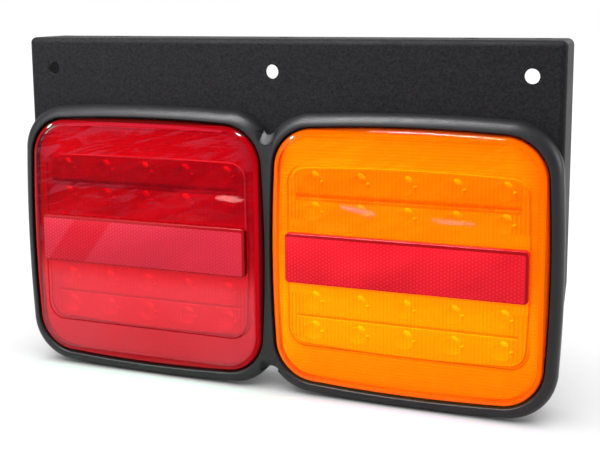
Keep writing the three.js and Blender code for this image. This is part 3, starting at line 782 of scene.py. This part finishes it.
def surround():
    left, right = LAMPS.values()
    obj = thing("surround_frame", frame_outer, left)
    join(obj, frame_outer, right)
    for direction in (1, -1):
        join(obj, notch_web, direction)
        cut(obj, notch_scoop, direction)
    for x in (left, right):
        cut(obj, mouth, x)
    for x in (left, right):
        join(obj, ledge, x)
    bolts = [(x, LAMP_Z + s * BOLT_RISE) for x in LAMPS.values() for s in (-1, 1)]
    cut(obj, holes, bolts, BOLT_HOLE, -17, -14.5)
    return finish_piece(obj, "surround_frame", [SURROUND_BLACK], ["surround"], 34)


# ---- Lamps -----------------------------------------------------------------------------------------

# Rise of a lens's rounded edge, and how far in from its outline.
LENS_EDGE = [
    (5.4, 0.25), (5.6, 0.0), (6.6, 0.03), (7.4, 0.16), (8.1, 0.42),
    (8.7, 0.85), (9.15, 1.4), (9.5, 2.1), (9.72, 2.9), (9.84, 3.8),
]


def lens_skin(bm, x):
    inner = shrink(LENS, 2.4)
    layers = [(7.85, shrink(inner, 1.6), s) for s in (0.03, 0.25, 0.5, 0.75, 0.9, 0.97)]
    layers = [(7.85 - 0.2 * s * s, size, s) for _, size, s in layers]
    inner_edge = ((7.62, 1.6), (7.5, 0.9), (7.1, 0.35), (6.5, 0.1), (5.4, 0.0))
    layers += [(rise, shrink(inner, by)) for rise, by in inner_edge]
    inner_bands = len(layers) - 1
    layers += [(rise, shrink(LENS, by)) for rise, by in LENS_EDGE]
    last = shrink(LENS, 3.8)
    layers += [(9.84 + 0.3 * (1 - s * s), last, s) for s in (0.97, 0.9, 0.75, 0.5, 0.25, 0.03)]
    mats = [1] * inner_bands + [0] * (len(layers) - 1 - inner_bands)
    loft(bm, layers, x, mats=mats, side=16, corner=28)


def lens(side, x):
    obj = thing(f"{side}_lens_cover", lens_skin, x)
    pocket = shrink(REFLECTOR, -0.3)
    cut(obj, loft, [(9.0, pocket), (11.0, pocket)], x, side=6, corner=6)
    mesh = obj.data
    inset = mesh.attributes.new("inset", "FLOAT", "POINT")
    for i, v in enumerate(mesh.vertices):
        a, b = abs(v.co.x / MM - x), abs(v.co.z / MM - LAMP_Z)
        over_a, over_b = a - LENS[0] + LENS[2], b - LENS[1] + LENS[2]
        reach = math.hypot(over_a, over_b) if over_a > 0 and over_b > 0 else max(over_a, over_b)
        inset.data[i].value = LENS[2] - reach if FRONT - v.co.y / MM > 6.4 else 0.0
    looks = [lens_outer(side), lens_inner(side)]
    return finish_piece(obj, f"{side}_lens_cover", looks, [f"{side}_lens"], 40)


def reflex_bar(side, x):
    edge = ((9.05, 0.0), (11.75, 0.0), (12.05, 0.09), (12.22, 0.25), (12.3, 0.5))
    layers = [(rise, shrink(REFLECTOR, by)) for rise, by in edge]
    obj = thing("bar", loft, layers, x, mats=[1, 1, 1, 0], side=8, corner=8)
    for p in obj.data.polygons:
        if len(p.vertices) > 4 and p.center.y < (FRONT - 12) * MM:
            p.material_index = 0
    looks = [REFLEX_FACE, REFLEX_WALL]
    return finish_piece(obj, f"{side}_reflex_bar", looks, [f"{side}_reflector"], 34)


def optic(side, x):
    def plate(bm):
        lip = shrink(OPTIC, -0.6)
        edge = [(4.5, OPTIC), (5.2, OPTIC), (5.3, lip), (5.6, lip), (5.7, shrink(lip, 0.15))]
        pad_edge = ((5.7, -0.5), (5.9, -0.12), (6.4, 0.0), (6.55, 0.12), (6.6, 0.4))
        step = [(rise, shrink(PAD, by)) for rise, by in pad_edge]
        loft(bm, edge + step, x, mats=[0] * len(edge) + [2] * (len(step) - 2) + [0])

    obj = thing("plate", plate)
    groove = (54.0, 0.9, 0.8, 0.0)
    for rise in (GROOVE_UP, -GROOVE_UP):
        cut(obj, loft, [(6.35, shrink(groove, 0.3)), (6.7, groove)], x, LAMP_Z + rise, side=4, corner=4)

    def domes(bm):
        for row in LED_ROWS:
            for column in range(-2, 3):
                cx, cz = x + column * LED_PITCH, LAMP_Z + row
                ring = [(5.6, 6.4), (5.5, 6.66), (5.2, 6.7), (4.9, 6.67), (4.6, 6.62)]
                turned(bm, ring, cx, cz, 32, squash=(1.0, 0.78))
                # Raised beads where the optic flashes, whose bright colour is a painted glint.
                bead(bm, cx + SPARK[0], cz + SPARK[1], 2.1, 1.2, SPARK_TURN)
                bead(bm, cx + SPARK[0] + 2.9, cz + SPARK[1] - 3.6, 1.1, 0.8, 0.3)

    def bead(bm, cx, cz, long, short, turn):
        """Oval facet whose bright colour is a painted glint."""
        rings = []
        c, s = math.cos(turn), math.sin(turn)
        for scale, rise in ((1.0, 6.5), (1.0, 6.66), (0.8, 6.85), (0.4, 6.97), (0.05, 7.0)):
            ring = []
            for i in range(20):
                t = 2 * math.pi * i / 20
                a, b = long * scale * math.cos(t), short * scale * math.sin(t)
                ring.append((cx + a * c - b * s, FRONT - rise, cz + a * s + b * c))
            rings.append(ring)
        skin(bm, rings, [1] * (len(rings) - 1))

    lights = thing("domes", domes)
    bm = bmesh.new()
    bm.from_mesh(obj.data)
    bm.from_mesh(lights.data)
    bm.to_mesh(obj.data)
    bm.free()
    bpy.data.objects.remove(lights)
    looks = [PLATE_WHITE, LENSLET, PLATE_EDGE]
    return finish_piece(obj, f"{side}_optic_plate", looks, [f"{side}_optic_panel"], 34)


def housing(side, x):
    """Rim and tub of a lamp, with moulded ribs and bosses on the floor."""

    def tub(bm):
        layers = [(4.4, shrink(RIM, 0.15)), (4.2, RIM), (2.35, RIM), (2.2, shrink(RIM, 0.15))]
        layers += [(2.2, shrink(TUB, -0.3)), (1.6, TUB)]
        for step in range(0, 7):
            a = step / 6 * math.pi / 2
            layers.append((-20.2 - 1.8 * math.sin(a), shrink(TUB, 0.4 + 1.8 * (1 - math.cos(a)))))
        loft(bm, layers, x)

    obj = thing("tub", tub)
    cavity = shrink(TUB, 2.0)
    cut(obj, loft, [(6.0, cavity), (-19.0, cavity), (-20.0, shrink(cavity, 1.0))], x)
    bolts = [(x, LAMP_Z + s * BOLT_RISE) for s in (-1, 1)]
    cut(obj, holes, bolts, BOLT_HOLE, -19, -14)
    cut(obj, holes, bolts, 4.8, -19, FRONT - 3.2)
    cut(obj, holes, [(x, LAMP_Z - 20)], 6.5, 4, 12)
    cut(obj, holes, [(x - 25, LAMP_Z + 20)], 3.0, 4, 12)
    bevel(obj, 0.25, 2, 50)

    def ribs(bm):
        for z in (38.0, 0.0, -38.0):
            for part in ((-52.0, -12.0), (12.0, 52.0)):
                rib(bm, (x + (part[0] + part[1]) / 2, LAMP_Z + z), (20.0, 0.9))
        for px in (-46.0, 46.0):
            rib(bm, (x + px, LAMP_Z - 19), (0.9, 15.0))
            rib(bm, (x + px, LAMP_Z + 19), (0.9, 15.0))
        for px in (-34.35, 34.35):
            for pz in (-29.7, 29.7):
                turned(bm, [(4.4, -21.5), (4.3, -22.5), (4.0, -22.8), (0.4, -22.8)], x + px, LAMP_Z + pz, 36)
        turned(bm, [(9.6, -21.5), (9.5, -22.05), (9.4, -22.06), (0.4, -22.06)], x + 25, LAMP_Z + 20, 48)

    def rib(bm, centre, half):
        size = (*half, 0.85, 0.0)
        layers = [(-21.5, size), (-22.5, size), (-22.75, shrink(size, 0.25))]
        loft(bm, layers, centre[0], centre[1], side=3, corner=4)

    extra = thing("ribs", ribs)
    bm = bmesh.new()
    bm.from_mesh(obj.data)
    bm.from_mesh(extra.data)
    bm.to_mesh(obj.data)
    bm.free()
    bpy.data.objects.remove(extra)
    node = f"{side}_housing"
    return finish_piece(obj, f"{side}_lamp_housing", [HOUSING_BLACK], [node], 36, True)


def grommet(side, x):
    profile = [
        (3.5, -18.4), (3.8, -18.2), (8.2, -18.2), (8.5, -18.5), (8.5, -19.9), (6.2, -19.9), (6.2, -22.1),
        (8.9, -22.1), (9.0, -22.4), (8.9, -23.3), (8.4, -23.6), (6.6, -24.1), (6.1, -24.6), (5.4, -25.4),
        (5.7, -25.7), (5.3, -26.0), (5.5, -26.4), (5.0, -26.9), (4.6, -27.0), (3.8, -27.0), (3.5, -26.7),
    ]
    obj = thing("grommet", hollow, profile, x, LAMP_Z - 20, 56)
    return finish_piece(obj, f"{side}_cable_gland", [RUBBER], [f"{side}_cable_grommet"], 40)


def vent(side, x):
    profile = [
        (0.2, -19.0), (2.4, -19.0), (2.7, -20.0), (2.7, -22.1), (4.7, -22.1), (4.8, -22.4),
        (4.7, -23.1), (4.2, -23.5), (2.2, -23.6), (1.9, -23.4), (0.2, -23.4),
    ]
    obj = thing("vent", turned, profile, x - 25, LAMP_Z + 20, 40)
    return finish_piece(obj, f"{side}_vent_cap", [RUBBER], [f"{side}_vent_plug"], 40)


# ---- Fasteners -------------------------------------------------------------------------------------


def threaded(bm, x, z, radius, start, end, pitch=0.8, depth=0.42, around=28, per_turn=8):
    """Rod with a helical thread between two depths behind the plate's front."""
    steps = int((end - start) / pitch * per_turn)
    rings = []
    for k in range(steps + 1):
        y = start + (end - start) * k / steps
        fade = min(1.0, (end - y) / 0.9)
        ring = []
        for i in range(around):
            turn = (y / pitch + i / around) % 1.0
            groove = abs(2 * turn - 1)
            r = radius - depth * (1 - min(1.0, groove * 1.25)) - 0.55 * (1 - fade)
            t = 2 * math.pi * i / around
            ring.append((x + r * math.cos(t), FRONT + y, z + r * math.sin(t)))
        rings.append(ring)
    skin(bm, rings)


def stud(side, place, x, z):
    def build(bm):
        turned(bm, [(4.2, 4.35), (4.5, 4.1), (4.5, 3.25), (2.5, 3.25), (2.5, 0.0), (2.4, -2.0)], x, z, 40)
        threaded(bm, x, z, 2.5, 1.9, STUD_END)

    obj = thing("stud", build)
    node = f"{side}_stud_{place}"
    return finish_piece(obj, f"{side}_threaded_stud_{place}", [ZINC], [node], 50)


def washer(side, place, x, z):
    profile = [(2.8, -2.05), (4.85, -2.05), (5.0, -2.2), (5.0, -2.85)]
    profile += [(4.8, -3.05), (3.0, -3.05), (2.8, -2.9)]
    obj = thing("washer", hollow, profile, x, z, 48)
    node = f"{side}_washer_{place}"
    return finish_piece(obj, f"{side}_flat_washer_{place}", [ZINC], [node], 40)


def spring_washer(side, place, x, z):
    """Split ring whose two ends are cut at a slant."""

    def build(bm):
        rings, steps = [], 56
        for k in range(steps + 1):
            t = 0.2 + (2 * math.pi - 0.4) * k / steps
            lean = 0.08 * (1 if k == 0 else -1 if k == steps else 0)
            ring = []
            for radius, back in ((2.85, 3.15), (4.3, 3.15), (4.4, 3.25), (4.4, 4.2), (4.3, 4.3), (2.85, 4.3)):
                a = t + lean * (back - 3.7)
                ring.append((x + radius * math.cos(a), FRONT + back, z + radius * math.sin(a)))
            rings.append(ring)
        skin(bm, rings)

    obj = thing("spring", build)
    node = f"{side}_lock_washer_{place}"
    return finish_piece(obj, f"{side}_spring_washer_{place}", [ZINC], [node], 40)


def nut(side, place, x, z):
    def hexagon(bm):
        reach = 8 / math.sqrt(3)
        turns = [i * math.pi / 3 for i in range(6)]
        points = [(x + reach * math.cos(a), z + reach * math.sin(a)) for a in turns]
        prism(bm, points, -4.35, -8.35)

    def cone(bm):
        turned(bm, [(4.1, -4.3), (4.75, -4.75), (4.75, -7.9), (4.0, -8.4)], x, z, 48)

    obj = thing("nut", hexagon)
    boolean(obj, "INTERSECT", thing("tool", cone))
    cut(obj, turned, [(3.1, -4.2), (2.62, -4.8), (2.62, -7.9), (3.1, -8.5)], x, z, 40)
    bevel(obj, 0.1, 2, 40)
    return finish_piece(obj, f"{side}_hex_nut_{place}", [ZINC], [f"{side}_nut_{place}"], 30)


bracket()
surround()
for side, x in LAMPS.items():
    lens(side, x)
    reflex_bar(side, x)
    optic(side, x)
    housing(side, x)
    grommet(side, x)
    vent(side, x)
    for place, rise in (("upper", BOLT_RISE), ("lower", -BOLT_RISE)):
        for make in (stud, washer, spring_washer, nut):
            make(side, place, x, LAMP_Z + rise)

# CAD nodes that stay as they are, inside the lamps and between the parts, get their own materials.
KEPT = {"gasket": RUBBER, "lens_seal": RUBBER, "circuit_board": BOARD, "terminal_block": HOUSING_BLACK}
for name, node in frame["nodes"].items():
    kind = name.split("_", 1)[1] if "_" in name else name
    look = KEPT.get(kind) or (LED if "led_strip" in name else ZINC if "screw" in name else None)
    if look is not None:
        for s in node.material_slots:
            s.material = look

# ---- Floor, light and camera -----------------------------------------------------------------------


def floor():
    bpy.ops.mesh.primitive_grid_add(x_subdivisions=8, y_subdivisions=8, size=9, location=(0, 0, cad_box[0].z))
    plane = bpy.context.object
    plane.name = "studio_floor"
    n = Nodes("floor", Roughness=0.6, Specular_IOR_Level=0.2)
    n.set("Base Color", n.blend(n.noise(3, 2), (0.86, 0.86, 0.86), (0.89, 0.89, 0.89)))
    plane.data.materials.append(n.material)


def softbox(name, place, aim, size, power, receivers, colour=(1, 1, 1)):
    """Soft lamp for one group of pieces, so that the floor stays evenly white."""
    data = bpy.data.lights.new(name, "AREA")
    data.shape, data.size, data.size_y, data.energy, data.color = "RECTANGLE", *size, power, colour
    obj = bpy.data.objects.new(name, data)
    obj.location = place
    obj.rotation_euler = (Vector(aim) - Vector(place)).to_track_quat("-Z", "Y").to_euler()
    obj.visible_camera = False
    obj.light_linking.receiver_collection = group[receivers]
    obj.light_linking.blocker_collection = group["opaque"]
    bpy.context.scene.collection.objects.link(obj)
    return obj


# A lamp lights one of these groups. The opaque one casts the shadows: all pieces but the reflex bars.
group = {name: bpy.data.collections.new(name) for name in ("every", "solid", "opaque", "red", "amber")}
for obj in bpy.context.scene.objects:
    if obj.type == "MESH":
        group["every"].objects.link(obj)
        group[obj.name.split("_")[0] if obj.name.endswith("_lens_cover") else "solid"].objects.link(obj)
        if not obj.name.endswith("_reflex_bar"):
            group["opaque"].objects.link(obj)
floor()
world = bpy.data.worlds.new("studio")
bpy.context.scene.world = world
world.use_nodes = True
sky = world.node_tree.nodes["Background"]
path = world.node_tree.nodes.new("ShaderNodeLightPath")
level = world.node_tree.nodes.new("ShaderNodeMapRange")
level.inputs["To Min"].default_value = 0.45  # as light
level.inputs["To Max"].default_value = 1.0  # as seen
world.node_tree.links.new(path.outputs["Is Camera Ray"], level.inputs["Value"])
world.node_tree.links.new(level.outputs[0], sky.inputs["Strength"])
sky.inputs["Color"].default_value = (1, 1, 1, 1)
sun = bpy.data.objects.new("overhead", bpy.data.lights.new("overhead", "SUN"))
sun.data.energy, sun.data.angle = 2.9, math.radians(70)
sun.rotation_euler = (math.radians(14), 0, 0)
sun.visible_glossy = False
sun.light_linking.blocker_collection = group["opaque"]
bpy.context.scene.collection.objects.link(sun)
softbox("top", (-0.2, -0.38, 0.6), (0.0, 0, -0.05), (0.32, 0.8), 19, "solid", (0.98, 0.98, 1.0))
softbox("front_left", (-0.75, -0.95, 0.25), (0, 0, -0.1), (0.6, 0.6), 6, "every")
softbox("right", (0.9, 0.15, 0.15), (0.14, 0, -0.08), (0.4, 0.5), 4, "every")
# Small lamps that only show as highlights, in the colour that the tinted plastic turns to a pale one.
PALE = {
    "red": (0.2, 1.0, 0.38), "red_rim": (0.02, 1.0, 0.42),
    "amber": (0.3, 0.04, 1.0), "amber_rim": (0.1, 0.10, 1.0),
}
SLANT = -0.16  # of the glints on the faces
for colour, place, aim, size, power, slant in (
    ("red", (-0.139, -0.291, -0.136), (-0.019, -0.024, -0.078), (0.024, 0.005), 0.025, SLANT),
    ("amber", (-0.043, -0.304, -0.139), (0.046, -0.024, -0.078), (0.030, 0.004), 0.04, SLANT),
    ("amber", (0.034, -0.311, -0.1455), (0.094, -0.024, -0.081), (0.036, 0.004), 0.04, SLANT),
    ("red_rim", (0.09, -0.51, 0.51), (-0.01, -0.02, -0.05), (0.16, 0.16), 160, 0.0),
    ("red_rim", (-0.96, -0.39, 0.34), (-0.125, -0.02, -0.06), (0.13, 0.13), 120, 0.0),
    ("amber_rim", (-0.06, -0.42, 0.55), (0.07, 0, -0.05), (0.24, 0.10), 80, 0.0),
    ("amber_rim", (-0.743, -0.45, 0.445), (0.01, -0.02, -0.055), (0.16, 0.16), 120, 0.0),
):
    glint = softbox("glint", place, aim, size, power, colour.split("_")[0], PALE[colour])
    glint.data.shape = "ELLIPSE"
    glint.visible_diffuse = glint.visible_transmission = False
    glint.rotation_euler.rotate_axis("Z", slant)

camera = bpy.data.objects.new("camera", bpy.data.cameras.new("camera"))
camera.data.lens, camera.data.shift_y = 60.32, -0.12
camera.data.clip_start, camera.data.clip_end = 0.02, 40
camera.location = (0.187, -0.4677, 0.018)
AROUND, DOWN, ROLL = 20.82, 8.6, -0.47  # degrees, fitted to the photo
turn = Matrix.Rotation(math.radians(AROUND), 4, "Z") @ Matrix.Rotation(math.radians(90 - DOWN), 4, "X")
camera.rotation_euler = (turn @ Matrix.Rotation(math.radians(ROLL), 4, "Z")).to_euler()
bpy.context.scene.collection.objects.link(camera)
bpy.context.scene.camera = camera
bpy.context.scene.view_settings.view_transform = "Standard"

bpy.context.view_layer.update()
